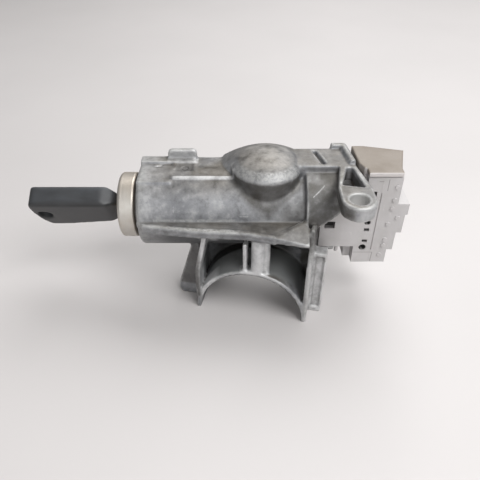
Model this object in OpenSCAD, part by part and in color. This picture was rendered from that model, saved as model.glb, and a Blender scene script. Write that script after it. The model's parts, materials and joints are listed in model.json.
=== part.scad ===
// Ignition switch with steering lock: a die-cast housing that clamps on a steering column,
// a key-operated wafer lock, a lock bolt and an electrical switch block.
// X runs along the lock axis with the key at -X, Z is up, and the origin lies on the
// column axis, straight below the bolt. All sizes are in millimetres.

/* [Column saddle] */
// Radius of the steering column jacket that the saddle sits on
column_r = 26; // [22:0.5:30]
// Wall of the half-round saddle
saddle_wall = 2.2; // [1.8:0.1:4]
// Angle between the column and the plane square to the lock, seen from above
saddle_skew = 12; // [0:1:15]
// Reach of the saddle in front of the bolt, along the column
saddle_front = 30; // [26:1:34]
// Reach of the saddle behind the bolt, along the column
saddle_back = 12; // [12:1:20]
// Radius of the clamp bolt holes in the two ears
ear_hole_r = 2.5; // [1.5:0.1:3]
// Depth of the clamp bolt holes
ear_hole_depth = 12; // [8:1:16]

/* [Lock barrel] */
// Height of the lock axis above the column axis
lock_height = 48; // [46:0.5:52]
// Outer radius of the barrel
barrel_r = 19.5; // [18:0.5:22]
// Distance of the barrel mouth from the bolt
barrel_front = 60; // [57:0.5:66]
// Outer radius of the cylinder sleeve
sleeve_r = 14.5; // [13:0.25:16]
// Radius of the turning plug
plug_r = 8; // [7.5:0.25:9]
// Length of the plug behind its head
plug_len = 46; // [44:1:48]
// Radius of the plug's head
plug_head_r = 9.5; // [9.3:0.1:10]
// Outer radius of the bezel ring
ring_r = 16; // [15.5:0.25:18]
// Length of the bezel ring
ring_len = 8.5; // [7:0.5:12]
// Gap between the bezel ring and the barrel mouth, where the sleeve's collar shows
mouth_gap = 1.1; // [0.8:0.1:4]

/* [Key] */
// Tilt of the key from upright in the lock position
key_tilt = 33; // [0:1:45]
// Length of the key's bow
bow_len = 44; // [36:0.5:50]
// Width of the key's bow
bow_w = 26; // [24:1:32]
// Distance of the bow's middle below the blade's
bow_drop = 2.2; // [0:0.1:4]
// Thickness of the key's bow
bow_t = 10.5; // [8:0.5:12]
// Width of the blade
blade_w = 8; // [7:0.25:9]
// Thickness of the blade
blade_t = 2.2; // [1.8:0.1:2.6]
// Length of blade inside the lock
blade_reach = 42; // [36:1:44]

/* [Wafers] */
// Number of wafers of each hand
wafer_pairs = 4; // [2:1:4]
// Distance between neighbouring wafers
wafer_pitch = 4.2; // [3.6:0.1:4.4]
// Thickness of a wafer
wafer_t = 1.2; // [0.8:0.1:1.4]
// Width of a wafer
wafer_w = 6; // [5.2:0.1:6.4]
// Travel of a wafer when the key is drawn
wafer_lift = 1.2; // [0.8:0.1:1.4]

/* [Bolt and shaft] */
// Thickness of the lock bolt along the lock axis
bolt_t = 8; // [6:0.5:9]
// Width of the lock bolt along the column
bolt_w = 20; // [18:0.5:22]
// Width of the bolt's nose
bolt_nose_w = 10; // [8:0.5:14]
// Throw of the bolt
bolt_throw = 8; // [6:0.5:8]
// Radius of the shaft's cam
cam_r = 7; // [6.5:0.1:7.2]
// Radius of the shaft behind the cam
shaft_r = 6; // [5:0.1:6.2]

/* [Casting top] */
// Radius of the dome over the bolt, at its rim
dome_r = 16.8; // [16:0.2:18]
// Radius of the dome's foot, on the lock axis's level
dome_foot_r = 12.6; // [11:0.2:14]
// Height of the dome's rim above the lock axis
dome_rim = 22.4; // [21.4:0.2:24]
// Width and height of the bevel above the dome's rim
dome_bevel = 3.4; // [2:0.2:4]
// Rise of the dome's crown above its bevel
dome_crown = 3.4; // [1:0.2:4]
// Height of the spine above the lock axis
spine_rise = 19.2; // [18:0.2:21]
// Width of the spine
spine_w = 19.8; // [16:0.2:22]
// Distance of the spine's far edge from the lock axis
spine_far = 13.7; // [12:0.2:15]
// Height of the lug on the spine
lug_h = 5; // [3:0.5:7]
// Height of the deck over the switch above the lock axis
deck_rise = 25; // [24:0.5:28]
// Outer radius of the hood around the switch
hood_r = 22.5; // [21:0.5:24]

/* [Flange] */
// Height of the flange's top above the lock axis
flange_rise = 2.7; // [0:0.1:5]
// Thickness of the flange
flange_t = 3; // [2:0.25:5]

/* [Eye] */
// Distance of the eye from the bolt along the lock axis
eye_x = 38.5; // [37:0.5:42]
// Distance of the eye in front of the lock axis
eye_y = 33.4; // [30:0.2:38]
// Outer radius of the eye
eye_r = 7.5; // [7:0.25:9]
// Radius of the eye's hole
eye_hole_r = 4.2; // [3:0.1:4.6]
// Height of the eye and of its two arms
eye_h = 7; // [6:0.5:12]

/* [Switch] */
// Distance of the switch's left face from the bolt
switch_x = 27; // [26:0.5:29]
// Distance of the seam between the switch's two shells from the bolt
seam_x = 53; // [52:0.5:56]
// Reach of the switch in front of the lock axis
switch_front = 15; // [14.5:0.1:17]
// Reach of the switch behind the lock axis
switch_back = 13; // [13:0.1:15]
// Depth of the switch's bottom below the lock axis
switch_drop = 25; // [22:0.5:28]
// Height of the switch's top under the hood, above the lock axis
switch_rise = 12; // [11.5:0.1:14]
// Radius of the switch's rotor
rotor_r = 10.5; // [9.5:0.1:10.8]
// Length of the connector shroud along the lock axis
shroud_len = 19.5; // [18:0.5:22]
// Height of the connector shroud
shroud_h = 15; // [13:0.5:16]
// Number of connector terminals
terminal_count = 6; // [4:1:6]

/* [Fits] */
// Radial clearance of a running fit
run_fit = 0.05; // [0.02:0.01:0.1]
// Clearance between pieces that stay apart
gap = 0.3; // [0.2:0.05:0.4]

/* [Hidden] */
$fn = 64;
cut = 1;

// Stations along the lock axis, from the key to the switch
mouth_x = -barrel_front;
ring_back = mouth_x - mouth_gap;
ring_x = ring_back - ring_len;
ring_lip = 1.2;
bow_x1 = ring_x - 0.6;
bow_x0 = bow_x1 - bow_len;
head_t = 2;
head_x = ring_x + 0.5;
blade_x1 = head_x + blade_reach;
tip_room = 5.5;
plug_x1 = max(head_x + head_t + plug_len, blade_x1 + tip_room);
sleeve_x1 = plug_x1 + 3.7;
tang_len = 4;
tang_t = 4;
cam_half = bolt_t / 2 + gap;
leg_x = 19;
circlip_x = switch_x + 0.3;
circlip_t = 1;
wall_x = switch_x + 2.5;
wall_t = 2;
rotor_x = wall_x + wall_t + 5;
rotor_len = seam_x - rotor_x - 4;
bridge_x = rotor_x + rotor_len + 1.2;
bridge_t = 0.8;
spring_depth = 4;

// Sleeve and ring
spigot_r = sleeve_r - 2;
collar_r = sleeve_r + 0.7;
keyway_t = blade_t + 2 * gap;
keyway_w = blade_w + 2 * gap;
groove_depth = wafer_lift + gap;
first_wafer_x = head_x + head_t + 6.5;
lug_w = 2;
pocket_r = 1;
pin_r = 1.5;
pin_x = -38;
pin_y = 3;
pin_z = lock_height + plug_r + groove_depth + 1;

// Bolt
dome_roof = 2.5;
window_h = 2 * cam_r + bolt_throw + 2 * gap;
window_w = 2 * cam_r + 2 * gap;
window_z = lock_height - cam_r - gap;
bolt_tip_z = column_r + 0.5;
bolt_top_z = window_z + window_h + 3;
pocket_top_z = lock_height + dome_rim + dome_bevel - dome_roof;
journal_r = shaft_r - 1;
circlip_groove = 0.7;
square_w = 6;

// Casting
mouth_bevel = 1.2;
dome_x = 1;
dome_y = -1;
dome_cap_r = dome_r - dome_bevel;
dome_cap_z = lock_height + dome_rim + dome_bevel;
skirt_r = 21.6;
skirt_y = 10;
skirt_proud = 2.5;
spine_z = lock_height + spine_rise;
spine_near = spine_far - spine_w;
deck_z = lock_height + deck_rise;
deck_t = 3;
deck_near = -5.9;
deck_far = 11.7;
deck_x1 = eye_x + 3.2;
hood_x1 = 35;
neck_top = lock_height + switch_rise;
flange_z = lock_height + flange_rise - flange_t;
leg_wall = saddle_wall;
leg_outer = column_r + leg_wall;
rib_t = 2.4;
rib_len = 12;
web_front = -6;
web_t = 3;
ear_front = 21;
ear_len = 15;
ear_hole_y = -ear_front + ear_len / 2;
left_ear_out = 14;
right_ear_out = 6.4;
ear_top = 38;
ear_floor = 3;
left_hole_s = -(column_r + left_ear_out - 5);
right_hole_s = column_r + (leg_wall + right_ear_out) / 2 + 0.4;

// Switch
screw_zs = [lock_height - 4, lock_height + 8];
step_x = 41;
step_drop = switch_drop - 10;
shroud_top = deck_z + 2;
socket_z0 = shroud_top - shroud_h;
front_top = shroud_top - 2.6;
shroud_x = deck_x1 + 2 * gap;
shroud_front = -switch_front + 4;
shroud_back = 10.5;
shroud_wall = 2;
shroud_flare = 4.6;
shroud_square = 6;
shroud_slant = 4.5;
shroud_mouth = 15;
shroud_x1 = shroud_x + shroud_len;
cavity_r = rotor_r + 0.5;
screw_r = 1.5;
screw_head_r = 2.8;
screw_head_t = 2;
screw_len = 5.4;
screw_x = switch_x + 5;
plunger_r = 1.8;
plunger_x = rotor_x + rotor_len / 2;
plunger_len = 5;
plunger_top = lock_height - rotor_r - run_fit;
spring_seat_z = lock_height - cavity_r - plunger_len - 4;

// A cylinder along the lock axis, from x0 to x1
module x_cyl(x0, x1, r) {
  translate([x0, 0, lock_height]) rotate([0, 90, 0]) cylinder(h = x1 - x0, r = r);
}

// A box given by its lowest and highest corners
module box(low, high) {
  translate(low) cube(high - low);
}

// A round rod from point p to point q
module rod(p, q, r) {
  d = q - p;
  len = norm(d);
  translate(p) rotate([0, acos(d.z / len), atan2(d.y, d.x)]) cylinder(h = len, r = r);
}

// Places children on the lock axis, turned with the key
module on_key() {
  translate([0, 0, lock_height]) rotate([key_tilt, 0, 0]) children();
}

// A cylinder along the lock axis, from x0 to x1, for use on the key
module key_cyl(x0, x1, r) {
  translate([x0, 0, 0]) rotate([0, 90, 0]) cylinder(h = x1 - x0, r = r);
}

// Places children in the column's own direction: X across it, Y along it
module on_column() {
  rotate([0, 0, -saddle_skew]) children();
}

// Extrudes an X-Z outline from y0 to y1
module xz_prism(y0, y1) {
  translate([0, y1, 0]) rotate([90, 0, 0]) linear_extrude(y1 - y0) children();
}

// One point on the surface of a coil of wire
function coil_point(r, wire, rise, turn, side) = [
  (r + wire * cos(side)) * cos(turn),
  (r + wire * cos(side)) * sin(turn),
  rise * turn / 360 + wire * sin(side)
];

// A coil spring that stands on Z = 0, as tall as height
module coil(r, wire, height, turns, steps, sides) {
  n = round(steps * turns);
  rise = (height - 2 * wire) / turns;
  points = [for (i = [0:n]) for (j = [0:sides - 1])
    coil_point(r, wire, rise, 360 * i / steps, 360 * j / sides)];
  lower = [for (i = [0:n - 1]) for (j = [0:sides - 1])
    [i * sides + j, (i + 1) * sides + j, i * sides + (j + 1) % sides]];
  upper = [for (i = [0:n - 1]) for (j = [0:sides - 1])
    [(i + 1) * sides + j, (i + 1) * sides + (j + 1) % sides, i * sides + (j + 1) % sides]];
  first = [for (j = [1:sides - 2]) [0, j, j + 1]];
  last = [for (j = [1:sides - 2]) [n * sides, n * sides + j + 1, n * sides + j]];
  translate([0, 0, wire]) polyhedron(points, concat(lower, upper, first, last));
}

// The half-round saddle, its two legs and the front ribs
module saddle() {
  front = -saddle_front;
  boss_r = 3.1;
  boss_s = 2.5;
  on_column() difference() {
    union() {
      xz_prism(front, saddle_back) circle(r = leg_outer);
      right_leg();
      xz_prism(front, front + rib_len) left_rib();
      xz_prism(-ear_front, -ear_front + ear_len) left_ear();
      right_ear();
      translate([boss_s, front + boss_r, column_r]) cylinder(h = flange_z - column_r + cut, r = boss_r);
      box([boss_s, front + 2.2, column_r], [boss_s + 6, front + 4.2, flange_z + cut]);
      box([boss_s - 7, front + 1, column_r], [boss_s - 5, front + 6, flange_z - 4]);
      box([-leg_outer - web_t, web_front, 0], [leg_outer, web_front + web_t, lock_height - web_t]);
    }
    box([-60, -60, -60], [60, 60, 0]);
    box([leg_outer + cut, -ear_front - cut, ear_floor],
      [leg_outer + right_ear_out - 1, -ear_front + 1.2, ear_top - 2]);
    for (s = [left_hole_s, right_hole_s])
      translate([s, ear_hole_y, -cut]) cylinder(h = ear_hole_depth + cut, r = ear_hole_r);
  }
}

// The right leg, which leans back above the saddle and runs up into the hood
module right_leg() {
  bend_z = 36;
  top = lock_height + 4;
  translate([column_r, 0, 0]) rotate([90, 0, 90]) linear_extrude(leg_wall)
    polygon([[-saddle_front, 0], [-saddle_front, bend_z], [-hood_r, top], [saddle_back, top],
      [saddle_back, 0]]);
}

// The right ear, cut back behind its top
module right_ear() {
  front = -ear_front;
  back = front + ear_len;
  top_len = 6;
  translate([leg_outer - cut, 0, 0]) rotate([90, 0, 90]) linear_extrude(right_ear_out + cut)
    polygon([[front, 0], [front, ear_top], [front + top_len, ear_top], [back, ear_top / 2], [back, 0]]);
}

// Outline of the left rib, across the column
module left_rib() {
  o = -leg_outer;
  bend_z = 24.5;
  lean = 5;
  foot_z = 8;
  top = flange_z + cut;
  polygon([[o, foot_z], [o, bend_z], [o + lean, top], [o + lean + rib_t, top], [o + rib_t, bend_z],
    [o + rib_t, foot_z]]);
}

// Outline of the left ear, across the column
module left_ear() {
  s = -column_r;
  o = s - left_ear_out;
  polygon([[s - 2, 0], [s - 2, 37], [s - 5, 37], [o, 7], [o - 0.5, 3], [o + 1.5, 0]]);
}

// The flange with the thick bead along its front edge and the triangular gusset at its right
module flange() {
  edge = [[mouth_x + 3, -barrel_r - 3.4], [-33, -26.2], [-8, -28], [4.4, -32]];
  taper = [0.3, 1, 1, 0.3];
  tip = edge[3];
  right = leg_x + 1;
  translate([0, 0, flange_z]) linear_extrude(flange_t)
    polygon(concat([[mouth_x, 0], [mouth_x, -barrel_r]], edge, [[right, -hood_r], [right, 0]]));
  bead(edge, taper, 1, 1.2, 0.2);
  bead(edge, taper, 0.4, 1.8, 0.7);
  hull() {
    box([tip.x, tip.y, flange_z], [tip.x + cut, tip.y + 3, flange_z + flange_t]);
    box([right - cut, -hood_r, flange_z], [right, -hood_r + 3, lock_height + 5]);
    box([right - cut, -hood_r - 11, flange_z - 1.5], [right, -hood_r, flange_z]);
  }
  translate([-3.3, -25.2, flange_z]) cylinder(h = flange_t + 0.35, r = 2.4);
}

// One layer of the bead along an edge, which tapers at both ends
module bead(edge, taper, front, back, proud) {
  outer = [for (i = [0:len(edge) - 1]) edge[i] - [0, front * taper[i]]];
  inner = [for (i = [len(edge) - 1:-1:0]) edge[i] + [0, back]];
  translate([0, 0, flange_z - proud]) linear_extrude(flange_t + 2 * proud) polygon(concat(outer, inner));
}

// The flat-topped spine with its lug and steps
module spine() {
  step_x0 = -44;
  strip_x1 = -33.5;
  strip_w = 6;
  lug_x = [-46.8, -32.6];
  lug_round = 2;
  lug_t = 3;
  box([mouth_x, spine_near - 3, lock_height], [step_x0, spine_far, spine_z - 0.8]);
  box([step_x0, spine_near, lock_height], [dome_x, spine_far, spine_z]);
  box([mouth_x, spine_far - strip_w, lock_height], [strip_x1, spine_far, spine_z + 0.6]);
  xz_prism(spine_far - lug_t, spine_far) {
    translate([lug_x[0], spine_z - cut]) square([lug_x[1] - lug_x[0], lug_h + cut - lug_round]);
    translate([lug_x[0] + lug_round, spine_z - cut])
      square([lug_x[1] - lug_x[0] - 2 * lug_round, lug_h + cut]);
    for (x = [lug_x[0] + lug_round, lug_x[1] - lug_round])
      translate([x, spine_z + lug_h - lug_round]) circle(r = lug_round);
  }
}

// The domed boss above the bolt
module dome() {
  translate([dome_x, dome_y, lock_height]) cylinder(h = dome_rim, r1 = dome_foot_r, r2 = dome_r);
  translate([dome_x, dome_y, lock_height + dome_rim]) cylinder(h = dome_bevel, r1 = dome_r, r2 = dome_cap_r);
  translate([dome_x, dome_y, dome_cap_z]) dome_cap(128);
  dome_skirt();
}

// The dome's round cap, from its bevel up, with a short root below
module dome_cap(facets) {
  ball_r = (dome_cap_r * dome_cap_r + dome_crown * dome_crown) / (2 * dome_crown);
  intersection() {
    translate([0, 0, dome_crown - ball_r]) sphere(r = ball_r, $fn = facets);
    translate([0, 0, -cut]) cylinder(h = dome_crown + 2 * cut, r = dome_cap_r, $fn = facets);
  }
}

// The slope that leads from the spine up to the dome
module dome_skirt() {
  low = spine_z - cut;
  intersection() {
    hull() {
      translate([dome_x, skirt_y, low]) cylinder(h = cut, r = skirt_r);
      translate([dome_x, dome_y + skirt_proud, dome_cap_z]) dome_cap(64);
    }
    box([dome_x - skirt_r, spine_near, low],
      [dome_x + skirt_r, spine_far + skirt_proud, dome_cap_z + 2 * dome_crown]);
  }
}

// The hood over the switch, open at its lower front, with its deck and the deck's rim
module hood() {
  bar_r = 1.7;
  bar_z = deck_z + 0.6;
  tab_rise = 2.2;
  difference() {
    x_cyl(leg_x, hood_x1, hood_r);
    xz_prism(-hood_r - cut, -switch_front) polygon([[leg_x + 4, 0], [leg_x + 4, lock_height],
      [hood_x1 + cut, lock_height + 9.5], [hood_x1 + cut, 0]]);
  }
  box([dome_x, deck_near, lock_height], [hood_x1, deck_far, deck_z]);
  box([hood_x1 - cut, deck_near, deck_z - deck_t], [deck_x1, deck_far, deck_z]);
  box([eye_x - 6, deck_far - cut, deck_z - deck_t], [eye_x + 1, deck_far + 2, deck_z + tab_rise]);
  rod([deck_x1 - 2.9, deck_far + 0.8, bar_z], [deck_x1 - 1, deck_near + 1.5, bar_z], bar_r);
}

// The eye and the two arms that carry it in front of the deck
module eye_arm() {
  top = deck_z;
  translate([0, 0, top - eye_h]) difference() {
    union() {
      translate([eye_x, -eye_y, 0]) cylinder(h = eye_h, r = eye_r);
      linear_extrude(eye_h) difference() {
        polygon([[eye_x - 2.5, 4], [deck_x1, 4], [deck_x1, -2], [eye_x + eye_r, -eye_y + 9],
          [eye_x + eye_r, -eye_y], [eye_x - eye_r, -eye_y], [eye_x - eye_r, -eye_y + 9]]);
        polygon([[eye_x - 1, deck_near - 1], [eye_x + 1.8, deck_near - 1],
          [eye_x + eye_r - 3, -eye_y + eye_r + 2], [eye_x - eye_r + 2.2, -eye_y + eye_r + 4]]);
      }
    }
    translate([eye_x, -eye_y, -cut]) cylinder(h = eye_h + 2 * cut, r = eye_hole_r);
  }
}

// The space that the switch takes up, with room around it
module switch_room() {
  g = gap;
  box([switch_x - g, -switch_front - g, lock_height - step_drop - g],
    [seam_x, switch_back + g, neck_top + g]);
}

// The bores for the lock, the shaft and the bolt, and the small cuts on top
module housing_bores() {
  pocket = [bolt_t / 2 + run_fit, bolt_w / 2 + run_fit];
  slot_w = 2;
  patch_depth = 0.5;
  x_cyl(mouth_x - cut, sleeve_x1 + gap, sleeve_r);
  x_cyl(sleeve_x1, leg_x, shaft_r);
  x_cyl(-cam_half, switch_x + cut, cam_r + run_fit);
  box([-pocket.x, -pocket.y, 0], [pocket.x, pocket.y, pocket_top_z]);
  translate([pin_x, pin_y, lock_height]) cylinder(h = spine_rise + cut, r = pin_r + run_fit);
  box([pin_x - 4.2, pin_y - 3.5, spine_z - patch_depth], [pin_x + 4.1, pin_y + 3.7, spine_z + cut]);
  translate([-52, 3.2, spine_z - 1.6]) rotate([0, 0, 35]) cube([5, 1.4, 3]);
  translate([23.5, 8.7, deck_z - 2]) rotate([0, 0, -76]) cube([13, slot_w, 3]);
  for (z = screw_zs)
    translate([screw_x, 0, z]) rotate([-90, 0, 0]) cylinder(h = switch_back + 20, r = screw_r + run_fit);
  box([switch_x, switch_back + 3, screw_zs[0] - 4], [hood_x1 + cut, switch_back + 20, screw_zs[1] + 4]);
}

module housing() {
  color([0.62, 0.62, 0.62]) difference() {
    union() {
      x_cyl(mouth_x + mouth_bevel, leg_x + cut, barrel_r);
      translate([mouth_x, 0, lock_height]) rotate([0, 90, 0])
        cylinder(h = mouth_bevel, r1 = barrel_r - mouth_bevel, r2 = barrel_r);
      spine();
      dome();
      hood();
      flange();
      saddle();
      eye_arm();
    }
    on_column() xz_prism(-saddle_front - 20, saddle_back + 30) circle(r = column_r);
    switch_room();
    housing_bores();
  }
}

module bezel_ring() {
  round_r = 1.6;
  color([0.8, 0.78, 0.74]) translate([ring_x, 0, lock_height]) rotate([0, 90, 0]) difference() {
    rotate_extrude() union() {
      square([ring_r - round_r, ring_len]);
      translate([0, round_r]) square([ring_r, ring_len - 2 * round_r]);
      for (z = [round_r, ring_len - round_r]) translate([ring_r - round_r, z]) circle(r = round_r, $fn = 32);
    }
    translate([0, 0, ring_lip]) cylinder(h = ring_len, r = spigot_r + run_fit);
    translate([0, 0, -cut]) cylinder(h = ring_len, r = plug_head_r + gap);
  }
}

module cylinder_sleeve() {
  color([0.25, 0.22, 0.2]) difference() {
    union() {
      x_cyl(ring_x + ring_lip + gap, ring_back, spigot_r);
      x_cyl(ring_back, mouth_x, collar_r);
      x_cyl(mouth_x, sleeve_x1, sleeve_r - run_fit);
    }
    x_cyl(ring_x, sleeve_x1 + cut, plug_r + run_fit);
    x_cyl(ring_x, head_x + head_t + gap, plug_head_r + gap);
    on_key() for (a = [0:90:270]) rotate([a, 0, 0])
      box([head_x + head_t + 3, -wafer_w / 2 - gap, 0],
        [plug_x1 - tang_len, wafer_w / 2 + gap, plug_r + groove_depth]);
    translate([pin_x, pin_y, pin_z]) cylinder(h = sleeve_r, r = pin_r + run_fit);
  }
}

module sleeve_pin() {
  color("silver") translate([pin_x, pin_y, pin_z]) cylinder(h = spine_z - 0.6 - pin_z, r = pin_r);
}

// Places one child at each wafer of one hand: 0 for the upper set, 1 for the lower
module at_wafers(hand) {
  for (i = [0:wafer_pairs - 1])
    translate([first_wafer_x + (2 * i + hand) * wafer_pitch, 0, 0]) rotate([180 * hand, 0, 0]) children();
}

// One wafer, standing upright across the key, with its spring lug at one side
module wafer() {
  end_r = plug_r - gap;
  window = [blade_t + 2 * gap + 0.4, blade_w + 2 * wafer_lift + 2 * gap];
  translate([-wafer_t / 2, 0, 0]) rotate([90, 0, 90]) linear_extrude(wafer_t) {
    difference() {
      intersection() {
        circle(r = end_r);
        translate([-wafer_w / 2, -end_r]) square([wafer_w, 2 * end_r]);
      }
      translate(-window / 2) square(window);
    }
    translate([wafer_w / 2 - 0.4, -0.6]) square([lug_w + 0.4, 1.2]);
  }
}

// The slot and spring pocket that one wafer needs in the plug
module wafer_room() {
  t = wafer_t + 2 * run_fit + 0.1;
  side = wafer_w / 2 + run_fit;
  box([-t / 2, -side, -plug_r - cut], [t / 2, side, plug_r + cut]);
  box([-t / 2, 0, -1], [t / 2, side + lug_w + gap, 1 + wafer_lift]);
  translate([0, wafer_w / 2 + lug_w / 2, -5]) cylinder(h = 5, r = pocket_r);
}

module wafer_spring() {
  translate([0, wafer_w / 2 + lug_w / 2, -4.95]) coil(0.6, 0.16, 4.3, 4, 8, 4);
}

module lock_plug() {
  color([0.72, 0.68, 0.55]) on_key() difference() {
    union() {
      key_cyl(head_x, head_x + head_t, plug_head_r);
      key_cyl(head_x, plug_x1, plug_r);
    }
    box([head_x - cut, -keyway_t / 2, -keyway_w / 2], [blade_x1 + 1, keyway_t / 2, keyway_w / 2]);
    for (hand = [0, 1]) at_wafers(hand) wafer_room();
    box([plug_x1 - tang_len, -plug_r - cut, -tang_t / 2 - run_fit],
      [plug_x1 + cut, plug_r + cut, tang_t / 2 + run_fit]);
  }
}

module upper_wafers() {
  color("goldenrod") on_key() at_wafers(0) wafer();
}

module lower_wafers() {
  color("goldenrod") on_key() at_wafers(1) wafer();
}

module upper_wafer_springs() {
  color("silver") on_key() at_wafers(0) wafer_spring();
}

module lower_wafer_springs() {
  color("silver") on_key() at_wafers(1) wafer_spring();
}

module key_blade() {
  tip = 4;
  color([0.75, 0.73, 0.7]) on_key() translate([0, blade_t / 2, 0]) rotate([90, 0, 0]) linear_extrude(blade_t)
    polygon([[bow_x1 - 12, -blade_w / 2], [blade_x1 - tip, -blade_w / 2], [blade_x1, -1], [blade_x1, 1],
      [blade_x1 - tip, blade_w / 2], [bow_x1 - 12, blade_w / 2]]);
}

// Outline of the key's bow: a straight upper edge, a round lower left corner and a narrower end at the blade
module bow_outline() {
  top = bow_w / 2 - bow_drop;
  low = top - bow_w;
  neck = blade_w / 2 + 2;
  round_r = 3.5;
  offset(r = round_r) offset(delta = -round_r)
    polygon([[bow_x0 + 0.5, top], [bow_x0, 1], [bow_x0 + 1.5, low + 7], [bow_x0 + 4.5, low + 1],
      [bow_x0 + 7.5, low], [bow_x1 - 8.5, low + 4.5], [bow_x1, low + 6.2], [bow_x1, neck],
      [bow_x1 - 3.5, top - 2], [bow_x1 - 8.5, top]]);
}

// Outline of the bow seen along its width: it thins towards the blade
module bow_side() {
  half = bow_t / 2;
  neck = blade_t / 2 + 1.3;
  slope_x = bow_x1 - 6.5;
  polygon([[bow_x0, half], [slope_x, half], [bow_x1, neck], [bow_x1, -neck], [slope_x, -half],
    [bow_x0, -half]]);
}

// The bow's section across the key, with rounded edges
module bow_section() {
  r = 2;
  square([bow_t - 2 * r, bow_w], center = true);
  square([bow_t, bow_w - 2 * r], center = true);
  for (y = [-1, 1]) for (z = [-1, 1])
    translate([y * (bow_t / 2 - r), z * (bow_w / 2 - r)]) circle(r = r);
}

module key_bow() {
  color([0.2, 0.21, 0.22]) on_key() difference() {
    intersection() {
      translate([0, bow_t / 2, 0]) rotate([90, 0, 0]) linear_extrude(bow_t) difference() {
        bow_outline();
        for (z = [-1.2, -2.8]) translate([bow_x0 + 5.4, z]) circle(r = 3.2);
      }
      translate([0, 0, -bow_w]) linear_extrude(2 * bow_w) bow_side();
      translate([bow_x0 - cut, 0, -bow_drop]) rotate([90, 0, 90])
        linear_extrude(bow_len + 2 * cut) bow_section();
    }
    box([bow_x1 - 12 - run_fit, -blade_t / 2 - run_fit, -blade_w / 2 - run_fit],
      [bow_x1 + cut, blade_t / 2 + run_fit, blade_w / 2 + run_fit]);
  }
}

module cam_shaft() {
  tang_w = plug_r - 2.5;
  flat_depth = 3;
  color("silver") on_key() {
    box([plug_x1 - tang_len + gap, -tang_w, -tang_t / 2], [plug_x1 + 1, tang_w, tang_t / 2]);
    key_cyl(plug_x1 + gap, gap - cam_half, shaft_r - run_fit);
    difference() {
      key_cyl(gap - cam_half, switch_x - gap, cam_r);
      box([-cam_half, -cam_r - cut, cam_r - flat_depth], [cam_half, cam_r + cut, cam_r + cut]);
    }
    difference() {
      key_cyl(0, rotor_x - 1, journal_r);
      difference() {
        key_cyl(circlip_x, circlip_x + circlip_t, journal_r + cut);
        key_cyl(circlip_x, circlip_x + circlip_t, journal_r - circlip_groove);
      }
    }
    box([0, -square_w / 2, -square_w / 2], [rotor_x + rotor_len - 2, square_w / 2, square_w / 2]);
  }
}

module shaft_circlip() {
  clip_r = journal_r + 1.6;
  mouth = 3;
  color("dimgray") on_key() difference() {
    key_cyl(circlip_x + run_fit, circlip_x + circlip_t - run_fit, clip_r);
    key_cyl(circlip_x - cut, circlip_x + circlip_t + cut, journal_r - circlip_groove + run_fit);
    box([circlip_x - cut, -mouth, 0], [circlip_x + circlip_t + cut, mouth, clip_r + cut]);
  }
}

module lock_bolt() {
  color("silver") difference() {
    union() {
      box([-bolt_t / 2, -bolt_w / 2, window_z - 4], [bolt_t / 2, bolt_w / 2, bolt_top_z]);
      box([-bolt_t / 2, -bolt_nose_w / 2, bolt_tip_z], [bolt_t / 2, bolt_nose_w / 2, window_z]);
    }
    box([-bolt_t, -window_w / 2, window_z], [bolt_t, window_w / 2, window_z + window_h]);
  }
}

module bolt_spring() {
  color("dimgray") translate([0, 0, bolt_top_z + run_fit])
    coil(3, 0.5, pocket_top_z - bolt_top_z - 2 * run_fit, 3, 14, 6);
}

// Room for the connector in the top of both switch shells
module shroud_room() {
  box([shroud_x - gap, shroud_front - gap, socket_z0 - gap],
    [seam_x + 30, switch_back + cut, shroud_top + cut]);
}

// Dark round and square core holes along the switch's front face
module front_holes() {
  y0 = -switch_front - cut;
  y1 = -switch_front + 2.8;
  left = seam_x - 4.8;
  squares = [[switch_x + 2, -4, 5, 4], [left + 0.8, 14, 2.2, 2.8], [left, -5.8, 2.6, 1.8],
    [left, -12.6, 2.6, 1.8]];
  rounds = [[left + 1.2, -0.6, 1.5], [left + 0.8, -15.6, 1.8]];
  for (h = squares)
    box([h[0], y0, lock_height + h[1]], [h[0] + h[2], y1, lock_height + h[1] + h[3]]);
  for (h = rounds)
    translate([h[0], y0, lock_height + h[1]]) rotate([-90, 0, 0]) cylinder(h = y1 - y0, r = h[2]);
}

module switch_body() {
  low = lock_height - switch_drop;
  shoulder = lock_height - step_drop;
  foot_x = step_x + 3.5;
  foot_back = 5;
  peg = [switch_x + 9.3, -switch_front + 1.5];
  color([0.73, 0.72, 0.72]) difference() {
    union() {
      box([switch_x, -switch_front, shoulder], [seam_x, switch_back, neck_top]);
      box([step_x, -switch_front + foot_back, low], [seam_x, switch_back, shoulder + cut]);
      box([foot_x, -switch_front, low], [seam_x, switch_back, shoulder + cut]);
      box([eye_x + eye_r + gap, -switch_front, lock_height], [seam_x, shroud_front - gap, front_top]);
      translate([peg.x, peg.y, shoulder - 3.5]) cylinder(h = 4, r = 0.9);
    }
    x_cyl(wall_x + wall_t, seam_x + cut, cavity_r);
    x_cyl(switch_x - cut, wall_x, cam_r + 1);
    x_cyl(switch_x, seam_x, journal_r + gap);
    shroud_room();
    front_holes();
    for (z = screw_zs)
      translate([screw_x, switch_back + cut, z]) rotate([90, 0, 0])
        cylinder(h = screw_len, r = screw_r + run_fit);
    translate([plunger_x, 0, spring_seat_z]) cylinder(h = plunger_len + 6, r = plunger_r + run_fit);
  }
}

// Stepped outline of the switch's right-hand shell
module cover_outline() {
  z = lock_height;
  x = seam_x;
  low = z - switch_drop;
  polygon([[x, low], [x + 8.3, low], [x + 8.3, z - 17], [x + 11, z - 17], [x + 11, z - 6.5],
    [x + 13.5, z - 6.5], [x + 13.5, z + 4], [x + 14.5, z + 4], [x + 14.5, z + 10], [x + 9, z + 10],
    [x + 9, front_top], [x, front_top]]);
}

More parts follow.
